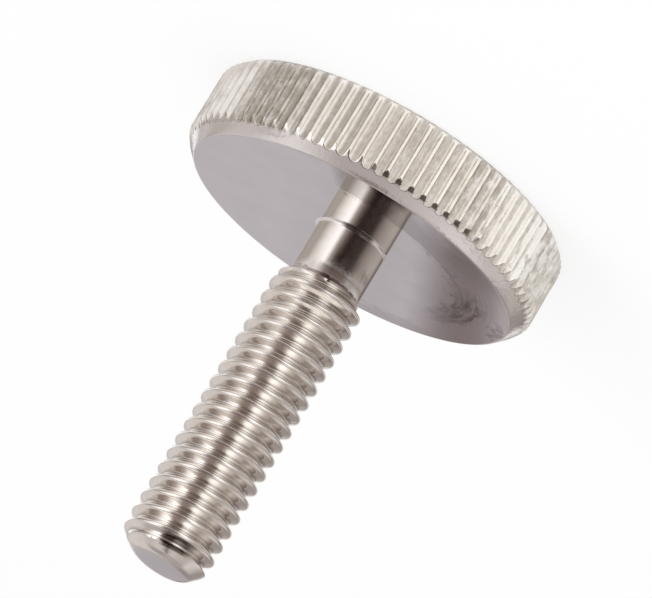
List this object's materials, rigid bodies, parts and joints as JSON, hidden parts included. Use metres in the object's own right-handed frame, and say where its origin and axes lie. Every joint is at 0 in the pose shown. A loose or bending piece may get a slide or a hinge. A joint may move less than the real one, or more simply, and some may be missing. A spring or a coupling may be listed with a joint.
{
  "type": "knurled thumb screw",
  "caption": "Thin round thumb screw with a straight-knurled rim, a flat bearing face, a plain neck and a full metric thread to a bevelled tip.",
  "frame": {"origin": "centre of the bearing face under the head", "axes": "+Z along the screw's axis from the bearing face towards the tip, so the head lies below the origin; X and Y lie in the bearing face and carry no feature of their own"},
  "size_m": [0.016, 0.016, 0.0195],
  "materials": {
    "nickel_plated_steel": "bright nickel plate over turned and rolled steel, satin on the bearing face"
  },
  "bodies": {
    "root": {"thumb_screw": "nickel_plated_steel"}
  },
  "joints": []
}
